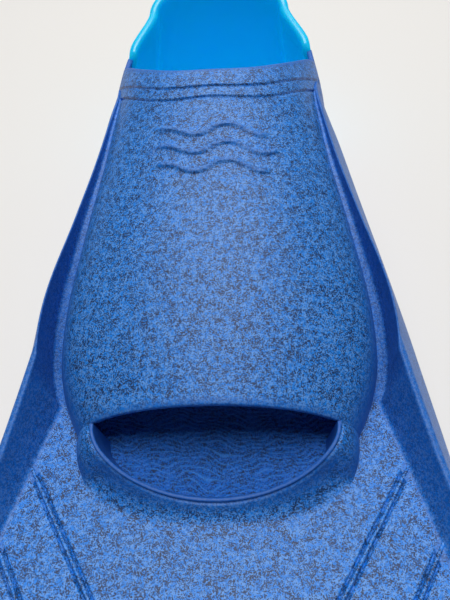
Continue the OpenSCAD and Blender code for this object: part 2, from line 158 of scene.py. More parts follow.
def moulding(name, points, faces, sharp=50, merge=0.0):
    """Makes an object from points in millimetres, faces outward, smooth except past the sharp angle."""
    points = np.asarray(points, float).reshape(-1, 3)
    if volume(points, faces) < 0:
        faces = [f[::-1] for f in faces]
    mesh = bpy.data.meshes.new(name)
    mesh.from_pydata((points * MM).tolist(), [], faces)
    if merge:
        bm = bmesh.new()
        bm.from_mesh(mesh)
        bmesh.ops.remove_doubles(bm, verts=bm.verts, dist=merge * MM)
        bmesh.ops.dissolve_degenerate(bm, edges=bm.edges, dist=merge * MM * 0.1)
        bm.to_mesh(mesh)
        bm.free()
    mesh.validate()
    mesh.polygons.foreach_set("use_smooth", [True] * len(mesh.polygons))
    mesh.set_sharp_from_angle(angle=math.radians(sharp))
    piece = bpy.data.objects.new(name, mesh)
    bpy.context.scene.collection.objects.link(piece)
    print(name, "faces", len(mesh.polygons))
    return piece


def tube(name, rings, **how):
    """A closed skin through rings, an array of (rings, points in a ring, 3)."""
    n, m = rings.shape[:2]
    return moulding(name, rings, tube_faces(n, m), **how)


def normals_of(p):
    """Unit normals of a grid of points, from the cross product of its two directions."""
    n = np.cross(np.gradient(p, axis=0), np.gradient(p, axis=1))
    return n / np.maximum(np.linalg.norm(n, axis=-1, keepdims=True), 1e-9)


def rolled_edge(edge, along, normal, thick, roundness, turns):
    """Half circle that rolls an edge over from the outer skin to the inner one."""
    half = thick / 2
    middle = edge - normal * half
    arc = [middle + half * (normal * math.cos(a) + along * math.sin(a) * roundness) for a in turns]
    return np.stack(arc, 1)


# %% [markdown]
# ## The pocket's outer form
# Across the foot the pocket is a superellipse: flat enough over the instep, full at the sides. Below
# its widest place the side draws in to the sole. One function gives the point for a station and an
# angle, so the shell, the gutter and the rails all agree about where the pocket's surface is.

# %% Pocket surface
def pocket_point(y, angle):
    """x = w cos^e, z = z0 + (h - z0) sin^e above the widest place; below it the side tucks in."""
    w, h = curve(POCKET_HALF, y), curve(POCKET_HEIGHT, y)
    e, z0 = 2 / curve(SECTION_POWER, y), curve(WIDEST_Z, y)
    s = np.clip(-angle / (math.pi / 2), 0, 1)
    a = np.clip(angle, 0, math.pi / 2)
    x = w * np.maximum(np.cos(a), 0) ** e - TUCK * s * s
    z = np.where(angle < 0, mix(z0, SOLE_T + 0.1, s), z0 + (h - z0) * np.sin(a) ** e)
    return np.stack([x, y + 0 * x, z], -1)


def pocket_x(y, z):
    """Half width of the pocket at a height: the same section, solved for x."""
    w, h, p, z0 = (curve(t, y) for t in (POCKET_HALF, POCKET_HEIGHT, SECTION_POWER, WIDEST_Z))
    above = w * np.maximum(1 - (np.maximum(z - z0, 0) / (h - z0)) ** p, 0) ** (1 / p)
    below = w - TUCK * np.clip((z0 - z) / (z0 - SOLE_T), 0, 1) ** 2
    return np.where(z < z0, below, above)


def open_edge(angle):
    """Station of the opening's edge: a power of the cosine sweeps it back from the instep."""
    return ANKLE_Y + 61.7 * np.cos(np.clip(angle, 0, math.pi / 2)) ** 2.43


def ankle_edge(angle):
    """The opening's edge, then a quick S down to the straight seam at the corner."""
    return mix(SEAM_Y, open_edge(angle), smooth((angle - CORNER) / 0.045))


# %% [markdown]
# ## The instep shell
# On the real fin this is the sheet of rubber over the foot. It is one skin of even thickness, rolled
# over at the toe edge and the ankle edge. The stepped hem and the raised waves are moulded relief, so
# they move the outer skin along its normal; a wall made by a modifier could not thicken only there.

# %% Relief on the instep
HEM_STEPS = [(7.9, 0.5), (12.6, 0.5)]
HEM_GROOVE_DEEP, HEM_GROOVE_WIDE = 0.38, 0.38
WAVE_Y, WAVE_GAP, WAVE_HALF, WAVE_UP = 71.0, 8.0, 26.0, 1.0


def hem_relief(back):
    """Height of the hem at a distance from the ankle edge: two terraces, a fine groove below each."""
    total = 0.0
    for place, rise in HEM_STEPS:
        total = total + rise * smooth((place + 0.3 - back) / 0.6)
        total = total - HEM_GROOVE_DEEP * np.exp(-(((back - place - 0.4) / HEM_GROOVE_WIDE) ** 2))
    return total


def wave_relief(x, y):
    """Three parallel waves across the instep, each a fine raised line that runs out at its ends."""
    total = 0.0
    for k in (-1, 0, 1):
        line = WAVE_Y + WAVE_GAP * k + 2.2 * np.sin(x * 0.25)
        half = WAVE_HALF - 4 * abs(k)
        profile = smooth((1.2 - np.abs(y - line)) / 0.5)
        total = total + WAVE_UP * profile * smooth((half - np.abs(x)) / 2)
    return total


# %% Instep shell
def mirrored_rows(grid):
    """Right half from the sole up to the ridge, then the left half down again."""
    left = grid[:-1][::-1] * np.array([-1.0, 1.0, 1.0])
    return np.concatenate([grid, left])


def mark(piece, name, values):
    """Stores one number for each point of the grid, for the material to read."""
    attribute = piece.data.attributes.new(name, "FLOAT", "POINT")
    attribute.data.foreach_set("value", np.asarray(values, np.float32).ravel())


def unit(v):
    """Vectors scaled to length 1."""
    return v / np.maximum(np.linalg.norm(v, axis=-1, keepdims=True), 1e-9)


def bare_and_shaded_places(base, back, lift):
    """Where the instep shows few crumbs and a deeper blue: its rims, the cuff by the seam, the waves,
    the low sides. The deeper blue is partly the crumb-free skin's own colour and partly painted shade,
    most of all on the low sides.
    """
    ankle_rim = 0.5 * smooth((1.6 - back) / 1.0)
    toe_rim = 0.6 * smooth((2.2 - base[..., 1] + TOE_Y) / 1.5) * smooth((base[:, :1, 2] - 25) / 3)
    cuff = smooth((base[..., 1] - 150) / 8) * smooth((lift - 0.2) / 0.15)
    waves = 0.35 * wave_relief(base[..., 0], base[..., 1]) / WAVE_UP
    # The low sides are marked clear: fewer crumbs, and a deeper blue that is painted shade of the steep
    # flank.
    low_sides = 0.85 * smooth((0.62 - lift) / 0.42) + 0 * back
    return np.maximum.reduce([ankle_rim, toe_rim, cuff, waves, low_sides])


def instep_shell():
    """Grid over angle (sole, widest place, ridge) and station (toe edge to ankle edge)."""
    angles = np.radians(np.concatenate([np.linspace(-90, -6, 13), np.linspace(0, 21, 12),
                                        np.linspace(21.6, 26.4, 15), np.linspace(27.2, 90, 58)]))
    share = np.concatenate([np.linspace(0, 0.57, 56), np.linspace(0.575, 0.84, 100),
                            np.linspace(0.845, 1, 120)])
    edge = ankle_edge(angles)[:, None]
    y = TOE_Y + 0.05 + (edge - 0.3 - TOE_Y - 0.05) * share
    base = mirrored_rows(pocket_point(y, np.repeat(angles[:, None], len(share), 1)))
    normal = -normals_of(base)
    lift = np.concatenate([angles, angles[:-1][::-1]])[:, None]
    cosine = np.cos(np.clip(lift, 0, math.pi / 2))
    back = (open_edge(lift) - base[..., 1]) / (1 + 1.05 * cosine ** 1.5)
    fade = smooth((lift - math.radians(9)) / math.radians(36))
    relief = hem_relief(back) * fade + wave_relief(base[..., 0], base[..., 1])
    outer = base + normal * relief[..., None]
    low_side = smooth((math.radians(46) - lift) / math.radians(20))
    thinner = 1.2 * low_side * smooth((base[..., 1] - 120) / 25)
    inner = base - normal * (WALL - thinner)[..., None]
    along = unit(base[:, -1] - base[:, -2])
    away = unit(np.cross(np.gradient(outer[:, -1], axis=0), normal[:, -1]))
    away *= np.where((away * along).sum(-1, keepdims=True) < 0, -1, 1)
    free_ankle = mix(0.1, 0.8, smooth((lift - CORNER + 0.02) / 0.05))
    free_toe = mix(0.02, 0.5, smooth((base[:, :1, 2] - 26) / 1.5))
    turns = np.linspace(0, math.pi, 10)[1:-1]
    ankle_thick = np.linalg.norm(outer[:, -1] - inner[:, -1], axis=-1)[:, None]
    ankle = rolled_edge(outer[:, -1], mix(along, away, smooth((lift - CORNER) / 0.02)), normal[:, -1],
                        ankle_thick, free_ankle, turns)
    forward = unit(base[:, 0] - base[:, 1])
    toe = rolled_edge(outer[:, 0], forward, normal[:, 0], WALL, free_toe, turns)[:, ::-1]
    within = inner[:, ::4][:, ::-1]
    piece = tube("instep_shell", np.concatenate([outer, ankle, within, toe], 1))
    # The rolled rims are marked clear: no crumbs, and a deeper blue that is partly painted shade.
    rims = [0 * ankle[..., 0] + 1, 0 * within[..., 0], 0 * toe[..., 0] + free_toe]
    mark(piece, "clear", np.concatenate([bare_and_shaded_places(base, back, lift)] + rims, 1))
    return piece


instep = instep_shell()

# %% [markdown]
# ## The toe wall
# Under the toe opening a low wall runs round from side to side. At the sides it has the pocket's own
# section, and towards the front it eases into a skirt that dies away on the blade. Its crest is the
# thin raised lip that frames the opening.

# %% Toe wall
LIP_THICK = 1.3


def toe_foot(turn):
    """Plan of the wall's foot: half an ellipse whose ends meet the pocket's side."""
    wide = float(pocket_x(TOE_Y, WEB_TOP))
    stretch = 1 + 0.05 * np.sin(2 * turn)[..., None] ** 2
    return np.stack([wide * np.sin(turn), TOE_Y - 31.0 * np.cos(turn)], -1) * stretch


def toe_crest(turn):
    """The lip's outer edge in plan, and its height, which rises from the front to the corners."""
    top = 14.2 + 12 * np.sin(turn) ** 2
    wide = float(pocket_x(TOE_Y, 26.2))
    return np.stack([wide * np.sin(turn), TOE_Y - 23.0 * np.cos(turn), top], -1)


def toe_wall():
    """Grid over turn (left corner to right corner) and a closed loop up the skirt and down inside."""
    turn = np.linspace(-math.pi / 2, math.pi / 2, 181)[:, None]
    u = 1 - (1 - np.linspace(0, 1, 44)[None, :]) ** 1.5
    crest, foot = toe_crest(turn), toe_foot(turn)
    side = smooth((np.abs(turn) - 0.98) / 0.36)
    rise = mix(u ** 2.4, u, side)
    z = mix(WEB_TOP, crest[..., 2], rise)
    top_x = pocket_x(TOE_Y + 0 * turn, crest[..., 2])
    base_x = pocket_x(TOE_Y, WEB_TOP)
    as_side = (base_x - pocket_x(TOE_Y + 0 * z, z)) / (base_x - top_x)
    share = mix(u + 0 * z, as_side, side)
    outer = np.concatenate([mix(foot, crest[..., :2], share[..., None]), z[..., None]], -1)
    around = np.gradient(outer, axis=0)
    up_slope = np.gradient(outer, axis=1)
    normal = unit(np.cross(around, up_slope))
    normal *= np.sign(normal[..., 2:] + 1e-9)
    from_crest = np.linalg.norm(outer - outer[:, -1:], axis=-1)
    free = smooth((math.pi / 2 - np.abs(turn)) / 0.12)
    groove = 0.7 * np.exp(-(((from_crest - 0.85) / 0.55) ** 2)) * free
    outer = outer - normal * groove[..., None]
    level = unit(normal[:, -1] * np.array([1.0, 1.0, 0.0]))
    turns = np.linspace(0, math.pi, 10)[1:-1]
    half = LIP_THICK / 2
    middle = outer[:, -1] - level * half
    up = np.array([0.0, 0.0, 1.0]) * mix(0.2, 0.6, free)
    lip = np.stack([middle + half * (level * math.cos(a) + up * math.sin(a)) for a in turns], 1)
    inner_top = outer[:, -1] - level * LIP_THICK
    inner_foot = inner_top - level * 2.4
    inner_foot[:, 2] = WEB_TOP - 1.5
    inside = mix(inner_top[:, None], inner_foot[:, None], np.linspace(0, 1, 12)[None, :, None])
    under = np.concatenate([foot, foot[..., :1] * 0 + SOLE_T + 0.4], -1)
    piece = tube("toe_wall_and_lip", np.concatenate([under, outer, lip, inside], 1))
    # The skirt's upper part and the low sides are marked clear: fewer crumbs, and a deeper blue that is
    # partly painted shade on faces turned from the light. The lip and its inside get the full mark.
    bare_and_shade_mark = mix(0.6 * smooth((u - 0.5) / 0.5), 0.85 * smooth((0.85 - u) / 0.5), side)
    rims = [0 * part[..., 0] + 1 for part in (lip, inside)]
    mark(piece, "clear", np.concatenate([bare_and_shade_mark[:, :1], bare_and_shade_mark] + rims, 1))
    return piece


toe = toe_wall()

# %% [markdown]
# ## Rails
# A rail is one strip of rubber from the ankle to the blade's tip. Its section is a polygon whose
# corners are curves along the fin, with each corner rounded, so the gutter beside the pocket, the
# narrow top edge and the flared flank all come from one list of corners.

# %% Rail section
def web_half(y):
    """Half width of the blade's flat sheet at the foot of the rail."""
    s = np.maximum(GUTTER_START - y, 0)
    return 62 + 0.254 * s - 0.000577 * s * s


def web_bottom(y):
    """Underside of the sheet, which thins towards the tip."""
    return WEB_TOP - mix(4.5, 3.0, np.clip((-20 - y) / 200, 0, 1))


def rounded(corners, radii, steps=6):
    """Rounds each corner of closed polygons (stations, corners, 2) with a parabola of that reach."""
    before = np.roll(corners, 1, axis=1) - corners
    after = np.roll(corners, -1, axis=1) - corners
    reach = []
    for side in (before, after):
        size = np.linalg.norm(side, axis=-1, keepdims=True)
        reach.append(corners + side / np.maximum(size, 1e-6) * np.minimum(radii[..., None], size * 0.45))
    t = np.linspace(0, 1, steps)[None, None, :, None]
    a, b, c = reach[0][:, :, None], corners[:, :, None], reach[1][:, :, None]
    bent = (1 - t) ** 2 * a + 2 * t * (1 - t) * b + t * t * c
    return bent.reshape(len(corners), -1, 2)


def rail_corners(y):
    """Corners (x, z) of the rail's section at each station, and how far each is rounded."""
    tx, tz, drop = curve(RAIL_TOP_X, y), curve(RAIL_TOP_Z, y), curve(RAIL_DROP, y)
    on_pocket = smooth((y + 6) / 4)
    floor_z = np.where(y < GUTTER_START, WEB_TOP - 0.02, np.maximum(curve(GUTTER_Z, y), WEB_TOP))
    flank = pocket_x(np.maximum(y, TOE_Y), floor_z)
    width = curve(GUTTER_WIDTH, np.maximum(y, GUTTER_START))
    foot_x = mix(web_half(y), flank + width, on_pocket)
    near_x = mix(web_half(y) - 3.5, flank, on_pocket)
    hidden_x = near_x - 1.6
    hidden_z = mix(web_bottom(y) + 1.2, floor_z - 1.5, on_pocket)
    edge = 1.15
    top_in = np.maximum(tx - edge, foot_x + 0.15)
    top_out = np.maximum(tx + edge, top_in + 0.8)
    outer_z = np.maximum(1.2, tz - drop)
    fade = smooth((STRAKE_END - y) / 70)
    on_flank = pocket_x(np.maximum(y, TOE_Y), outer_z) + 0.6 * fade + 0.1
    outer_x = np.maximum(tx + FLARE * np.minimum(drop, tz), on_flank)
    under_z = np.maximum(0, outer_z - mix(3, 9, fade))
    low_z = np.maximum(mix(web_bottom(y), SOLE_T, on_pocket), under_z - mix(2, 4, fade))
    low_x = mix(web_half(y), pocket_x(np.maximum(y, TOE_Y), low_z) - 1.2, on_pocket)
    on_blade = np.maximum(web_half(y) + 1, outer_x - 11)
    heel_x = mix(on_blade, mix(low_x, outer_x, 0.45), smooth((y + 30) / 60))
    xs = [hidden_x, near_x, foot_x, top_in, top_out, outer_x, outer_x - 1.6, heel_x, low_x, low_x - 1.0]
    zs = [hidden_z, floor_z, floor_z, tz - 0.1, tz - 0.5, outer_z, np.maximum(outer_z - 1.7, 0), under_z,
          low_z, mix(low_z, hidden_z, 0.5)]
    radii = np.array([0, 0.4, 1.6, 1.0, 1.3, 1.6, 1.2, 1.5, 0.3, 0]) + 0 * y[:, None]
    return np.stack([np.stack(xs, -1), np.stack(zs, -1)], -1), radii


# How far each corner of the section is clear of crumbs and tinted a deeper blue: most on the narrow top
# edge, not at all below. The deeper blue is partly the crumb-free skin's own colour and partly painted
# shade.
RAIL_BARE_AND_SHADE = [0.4, 0.4, 0.4, 0.7, 0.6, 0.3, 0.3, 0, 0, 0]


def rail(name, start, end, side, step=1.6):
    """A stretch of the rail between two stations, on the right (side 1) or on the left (side -1)."""
    y = np.linspace(start, end, int(abs(end - start) / step) + 1)
    if start > GUTTER_START > end:
        extra = GUTTER_START + np.array([-1, -0.5, 0, 0.5, 1])
        y = np.sort(np.unique(np.concatenate([y, extra])))[::-1]
    corners, radii = rail_corners(y)
    section = rounded(corners, radii)
    x, z = side * section[..., 0], section[..., 1]
    piece = tube(name, np.stack([x, y[:, None] + 0 * x, z], -1))
    bare_and_shade_mark = np.repeat(RAIL_BARE_AND_SHADE, section.shape[1] // len(RAIL_BARE_AND_SHADE))
    mark(piece, "clear", np.repeat(bare_and_shade_mark[None, :], len(y), 0))
    return piece


# The blade bends about three crosswise lines. The blade and rails are cut into stretches that meet
# halfway between the lines; each stretch lists the two bodies it lies between, but no bending is set up
# here.
LINES = [-66.0, -112.0, -158.0]
HALF_ZONE = 23.0
CUTS = [LINES[0] - HALF_ZONE, LINES[1] - HALF_ZONE]
STRETCHES = [
    ("foot", "blade_near", LINES[0]),
    ("blade_near", "blade_middle", LINES[1]),
    ("blade_middle", "blade_far", LINES[2]),
]


def bend(piece):
    """Bakes the piece's transform into its mesh; it does not bend the piece."""
    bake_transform(piece)


rails = {}
for side, word in ((1, "right"), (-1, "left")):
    spans = [(STRAKE_END, CUTS[0]), (CUTS[0], CUTS[1]), (CUTS[1], TIP_Y)]
    for k, (start, end) in enumerate(spans):
        rails[word, k] = rail(f"{word}_rail_{k + 1}", start, end, side)

# %% [markdown]
# ## The blade's sheet
# The sheet carries arrowhead ribs. Each is a fine bead between two grooves, only a few millimetres
# wide, so an even grid would need a million faces. Instead the grid's rows run along the ribs: close
# together across a rib and far apart between them.

# %% Blade sheet
RIB_ANGLE = math.radians(34.4)
RIB_SLOPE = 1 / math.tan(RIB_ANGLE)
RIB_PITCH = 33.6
RIB_FOOT = -28.5 - 67.8 * RIB_SLOPE
RIB_STOP = -204.0
BEAD_UP, BEAD_WIDE = 0.45, 0.6
GROOVE_AT, GROOVE_WIDE = 1.15, 0.4


def rib_profile(q):
    """Height across a rib, q in millimetres along the fin from its middle: a bead and two grooves."""
    across = q * math.sin(RIB_ANGLE)
    bead = BEAD_UP * np.exp(-((across / BEAD_WIDE) ** 4))
    grooves = [np.exp(-(((across - side * GROOVE_AT) / GROOVE_WIDE) ** 2)) for side in (1, -1)]
    return bead - sum(grooves)


def rib_relief(x, y):
    """Ribs meet in an arrowhead on the middle line; they run out short of the tip."""
    q = y - np.abs(x) * RIB_SLOPE - RIB_FOOT
    k = np.clip(np.round(-q / RIB_PITCH), 0, 3)
    return rib_profile(q + k * RIB_PITCH) * smooth((y - RIB_STOP) / 6)


def tip_edge(x):
    """The tip's outline: a shallow hollow between two corners."""
    return TIP_Y + 9 * np.maximum(np.cos(np.minimum(np.abs(x) / 100, 1) * math.pi / 2), 0) ** 1.5


def toe_end(x):
    """Where the sheet runs in under the toe wall and the pocket's sides."""
    a = np.abs(x)
    inside = TOE_Y - 25.5 * np.sqrt(np.maximum(1 - (a / 50.5) ** 2, 0))
    beside = np.interp(a, [50.5, 52, 55.5, 59, 62, 64], [-19.5, -17, -11, -3, -2, -2])
    return np.where(a < 50.5, inside, beside)


def blade_sheet(name, start, end):
    """Rows follow the ribs, clipped to the stretch; the last row rolls over into the underside."""
    fine = np.concatenate([np.linspace(-4.0, 4.0, 37), np.linspace(7, RIB_PITCH - 7, 5)])
    rows = np.sort(np.concatenate([RIB_FOOT - k * RIB_PITCH + fine for k in range(-4, 9)]))[::-1]
    x = np.linspace(-108, 108, 217)[None, :]
    high = toe_end(x) if start is None else np.full_like(x, start)
    low = tip_edge(x) + 1.6 if end is None else np.full_like(x, end)
    y = np.clip(rows[:, None] + np.abs(x) * RIB_SLOPE, low, high)
    limit = web_half(y) + 3
    xs = np.clip(x + 0 * y, -limit, limit)
    top = np.stack([xs, y, WEB_TOP + rib_relief(xs, y)], -1)
    foot = np.stack([xs, y, web_bottom(y)], -1)[::6][::-1]
    foot[0] = np.stack([xs[-1], y[-1], web_bottom(y[-1])], -1)
    foot[-1] = np.stack([xs[0], y[0], web_bottom(y[0])], -1)
    parts = [top]
    if end is None:
        middle = (top[-1] + foot[0]) / 2
        radius = (top[-1] - foot[0])[:, 2:] / 2
        for a in np.linspace(0, math.pi, 8)[1:-1]:
            parts.append((middle + radius * np.array([0, -math.sin(a), math.cos(a)]))[None])
    parts.append(foot)
    rings = np.concatenate(parts).transpose(1, 0, 2)
    return tube(name, rings, merge=0.004)


sheets = [blade_sheet("blade_sheet_1", None, CUTS[0]), blade_sheet("blade_sheet_2", CUTS[0], CUTS[1]),
          blade_sheet("blade_sheet_3", CUTS[1], None)]

# %% [markdown]
# ## Footbed and heel seat
# Inside, the foot rests on a plate with a grip texture like the contour lines of a map. The lines are
# where a wandering height crosses a whole number, which gives loops and eddies that no straight
# pattern has. They are real relief, and they also carry a mark that the material lightens: a painted
# highlight on the raised lines.

# %% Footbed
def bed_half(y):
    """Half width of the plate inside the pocket: round at the toes, then along the pocket's wall."""
    nose = np.sqrt(np.clip(1 - ((TOE_Y - y) / 22.0) ** 2, 0, 1)) * 45.5
    along = curve(POCKET_HALF, np.maximum(y, TOE_Y)) - TUCK - WALL - 0.6
    return np.where(y < TOE_Y, nose, mix(45.5, along, smooth((y - TOE_Y) / 14)))


def contour_lines(x, y):
    """1 on a line, 0 between lines: a wandering height taken modulo one step."""
    sway = (1.1 * np.sin(x * 0.13 + 0.9 * np.sin(y * 0.11) + 0.6)
            + 0.7 * np.sin(x * 0.31 - y * 0.17 + 1.9)
            + 0.5 * np.sin(y * 0.43 + x * 0.22)
            + 0.35 * np.sin(x * 0.62 + y * 0.36 + 4.0))
    height = y / 1.9 + 0.75 * sway
    away = np.abs(height - np.round(height))
    return np.exp(-((away / 0.11) ** 2))


def footbed():
    """Grid over the plate's width and length, fine where the toe opening shows it."""
    y = np.concatenate([np.linspace(-41.4, 48, 200), np.linspace(49, 149.6, 70)])[:, None]
    u = np.linspace(-1, 1, 190)[None, :]
    x = u * bed_half(y)
    yy = y + 0 * x
    edge = smooth((1 - np.abs(u)) / 0.03) * smooth((y + 41.4) / 1.0)
    top = np.stack([x, yy, WEB_TOP - 0.9 + 0.7 * edge + 0.28 * contour_lines(x, yy) * edge], -1)
    under = np.stack([x, yy, 0 * x + SOLE_T + 0.05], -1)[:, ::8][:, ::-1]
    piece = tube("footbed_plate", np.concatenate([top, under], 1))
    # The line mark is what the material lightens: a painted highlight on the raised lines.
    mark(piece, "line", np.concatenate([contour_lines(x, yy) * edge, 0 * under[..., 0]], 1))
    return piece


bed = footbed()

# %% [markdown]
# ## The heel cup
# The soft cup starts with the pocket's section at the seam, draws in to the ankle and swells over the
# heel bone. In plan it is an arc with an S-shaped run-in on each side. The wall is rolled over at the
# rim, where the real one has a thicker bead that keeps the thin rubber from tearing.

# %% Heel cup
HEEL_HALF, HEEL_MID, CUP_T = 42.0, 194.0, 4.0
CORNER_Z = float(pocket_point(np.array(SEAM_Y), np.array(CORNER))[..., 2])
RIM_BACK = 82.0


def heel_plan(s, inset):
    """s runs from -1 (left seam) over 0 (back) to 1 (right seam): an arc, and a Bezier at each side."""
    a, sign = np.abs(s), np.sign(s)
    w = float(curve(POCKET_HALF, SEAM_Y))
    back_x = (HEEL_HALF - inset) * np.sin(a * math.pi)
    back_y = HEEL_MID + (HEEL_Y - HEEL_MID - inset) * np.cos(a * math.pi)
    u = np.clip((a - 0.5) * 2, 0, 1)
    parts = [(1 - u) ** 3, 3 * (1 - u) ** 2 * u, 3 * (1 - u) * u * u, u**3]
    side_x = sum(c * p for c, p in zip((HEEL_HALF, HEEL_HALF + 1.5, w - 1.5, w), parts)) - inset
    side_y = sum(c * p for c, p in zip((HEEL_MID, 187, 179, SEAM_Y + 0.1), parts))
    return np.where(a < 0.5, back_x, side_x) * sign, np.where(a < 0.5, back_y, side_y)


def rim_height(s):
    """The rim climbs from the ankle corners to the back of the heel."""
    y = heel_plan(s, 0 * s)[1]
    return mix(CORNER_Z, RIM_BACK, np.clip((y - SEAM_Y) / (HEEL_Y - SEAM_Y), 0, 1) ** 0.9)


def cup_surface(s, v):
    """Point of the cup's outer skin; v runs from the sole to the rim."""
    z = mix(SOLE_T + 0.1, rim_height(s), v)
    rounded_share = 1 - smooth((np.abs(s) - 0.45) / 0.55)
    at_seam = float(curve(POCKET_HALF, SEAM_Y)) - pocket_x(SEAM_Y + 0 * z, np.minimum(z, CORNER_Z))
    swell = 4 * (1 - np.minimum(1, v / 0.35)) ** 2 + 5.5 * smooth((v - 0.4) / 0.6)
    x, y = heel_plan(s, mix(at_seam, swell, rounded_share))
    return np.stack([x, y, z], -1)


def heel_cup():
    """Grid round the heel and a closed loop up the outside, over the rim and down the inside."""
    s = np.linspace(-1, 1, 201)
    s[100] = 1e-6
    v = np.linspace(0, 1, 44)
    S, V = np.meshgrid(s, v, indexing="ij")
    outer = cup_surface(S, V)
    normal = normals_of(outer)
    out = np.sign((normal[..., :2] * (outer[..., :2] - np.array([0, 190]))).sum(-1).mean())
    normal *= out
    rim_bead = 0.7 * np.exp(-(((1 - V) * 70 / 3.2) ** 2)) * smooth((1 - np.abs(S)) / 0.12)
    skin = outer + normal * rim_bead[..., None]
    inner = outer - normal * CUP_T
    up = unit(skin[:, -1] - skin[:, -2])
    turns = np.linspace(0, math.pi, 12)[1:-1]
    full = (CUP_T + rim_bead[:, -1])[:, None]
    rim = rolled_edge(skin[:, -1], up, normal[:, -1], full, 0.85, turns)
    rings = np.concatenate([skin, rim, inner[:, ::-1]], 1)
    return tube("heel_cup_skin", rings)


cup = heel_cup()


# %% Heel seat
def heel_seat():
    """A shallow dish between the cup's walls, with its edge eased down."""
    y = np.linspace(150, 211.6, 70)[:, None]
    nose = np.sqrt(np.clip(1 - np.maximum(0, (y - 192) / 20.0) ** 2, 0, 1))
    half = mix(45.3, 33.2, smooth((y - 168) / 24)) * nose
    u = np.linspace(-1, 1, 60)[None, :]
    x = u * half
    dish = 0.6 * smooth((1 - np.abs(u)) / 0.25) * smooth((211.6 - y) / 8)
    top = np.stack([x, y + 0 * x, WEB_TOP + 0.3 - dish + 0 * x], -1)
    under = np.stack([x, y + 0 * x, 0 * x + SOLE_T + 0.05], -1)[:, ::6][:, ::-1]
    return tube("heel_seat_pad", np.concatenate([top, under], 1), merge=0.004)


seat = heel_seat()

# %% [markdown]
# ## Speckled rubber
# The blue compound is ground from old rubber: small dark crumbs, thicker in some places than in
# others, and a few brownish ones. Each cell of a Voronoi pattern holds one crumb, and its own random
# number sets the crumb's size. It is a node group, because three materials use it.

# %% Node helpers
def link(tree, a, b):
    """Joins output a to input b."""
    tree.links.new(a, b)


def node(tree, kind, operation, *inputs):
    """A math node with sockets or numbers on its inputs."""
    made = tree.nodes.new(kind)
    made.operation = operation
    for socket, value in zip(made.inputs, inputs):
        if hasattr(value, "is_output"):
            link(tree, value, socket)
        else:
            socket.default_value = value
    return made.outputs[0]


def ramp(tree, value, low, high, to_low=0.0, to_high=1.0):
    """A smooth step from to_low to to_high while the value goes from low to high."""
    made = tree.nodes.new("ShaderNodeMapRange")
    made.interpolation_type = "SMOOTHSTEP"
    for name, number in (("From Min", low), ("From Max", high), ("To Min", to_low), ("To Max", to_high)):
        made.inputs[name].default_value = number
    link(tree, value, made.inputs["Value"])
    return made.outputs["Result"]


CRUMB_INPUTS = [
    ("Vector", "NodeSocketVector", None),
    ("Grain", "NodeSocketFloat", 2500.0),
    ("Dark size", "NodeSocketFloat", 0.48),
    ("Brown size", "NodeSocketFloat", 0.34),
    ("Clear", "NodeSocketFloat", 0.0),
]


def crumb_group():
    """Masks for dark and brown crumbs, a slow tint and a fine height; Clear takes the crumbs away."""
    group = bpy.data.node_groups.new("rubber_crumb", "ShaderNodeTree")
    for name, kind, value in CRUMB_INPUTS:
        socket = group.interface.new_socket(name, in_out="INPUT", socket_type=kind)
        if value is not None:
            socket.default_value = value
    for name in ("Dark", "Brown", "Tint", "Height"):
        group.interface.new_socket(name, in_out="OUTPUT", socket_type="NodeSocketFloat")
    source, sink = group.nodes.new("NodeGroupInput"), group.nodes.new("NodeGroupOutput")
    vector, grain = source.outputs["Vector"], source.outputs["Grain"]

    def times(a, b):
        return node(group, "ShaderNodeMath", "MULTIPLY", a, b)

    def noise(factor, detail, output="Fac"):
        """Noise at a multiple of the grain."""
        texture = group.nodes.new("ShaderNodeTexNoise")
        texture.inputs["Detail"].default_value = detail
        link(group, vector, texture.inputs["Vector"])
        link(group, times(grain, factor), texture.inputs["Scale"])
        return texture.outputs[output]

    swing = (3e-4, 3e-4, 3e-4)
    uneven = node(group, "ShaderNodeVectorMath", "MULTIPLY", noise(1.6, 1.0, "Color"), swing)
    moved = node(group, "ShaderNodeVectorMath", "ADD", vector, uneven)

    def crumbs(factor, shift, size):
        """Inside a cell, 1 nearer to its centre than size times the cell's own random number."""
        cells = group.nodes.new("ShaderNodeTexVoronoi")
        shifted = node(group, "ShaderNodeVectorMath", "ADD", moved, (shift, shift, shift))
        link(group, shifted, cells.inputs["Vector"])
        link(group, times(grain, factor), cells.inputs["Scale"])
        channels = group.nodes.new("ShaderNodeSeparateXYZ")
        link(group, cells.outputs["Color"], channels.inputs[0])
        own = times(size, node(group, "ShaderNodeMath", "ADD", channels.outputs[0], 0.35))
        inside = node(group, "ShaderNodeMath", "SUBTRACT", own, cells.outputs["Distance"])
        return ramp(group, inside, -0.08, 0.08)

    keep = node(group, "ShaderNodeMath", "MULTIPLY_ADD", source.outputs["Clear"], -0.9, 1.0)
    cluster = ramp(group, noise(0.16, 2.0), 0.34, 0.66, 0.75, 1.25)
    dark = crumbs(1.0, 0.0, times(source.outputs["Dark size"], cluster))
    brown = crumbs(0.7, 0.31, times(source.outputs["Brown size"], cluster))
    link(group, times(dark, keep), sink.inputs["Dark"])
    link(group, times(brown, keep), sink.inputs["Brown"])
    link(group, ramp(group, noise(0.42, 3.0), 0.38, 0.62), sink.inputs["Tint"])
    link(group, noise(1.9, 2.0), sink.inputs["Height"])
    return group


CRUMB = crumb_group()


def principled(name):
    """A new material and its Principled BSDF."""
    material = bpy.data.materials.new(name)
    material.use_nodes = True
    return material, material.node_tree, material.node_tree.nodes["Principled BSDF"]


def blend_colour(tree, factor, a, b):
    """Mix of two colours; a and b are colours or sockets."""
    made = tree.nodes.new("ShaderNodeMix")
    made.data_type = "RGBA"
    link(tree, factor, made.inputs["Factor"])
    for value, socket in ((a, made.inputs[6]), (b, made.inputs[7])):
        if isinstance(value, tuple):
            socket.default_value = value + (1.0,)
        else:
            link(tree, value, socket)
    return made.outputs[2]


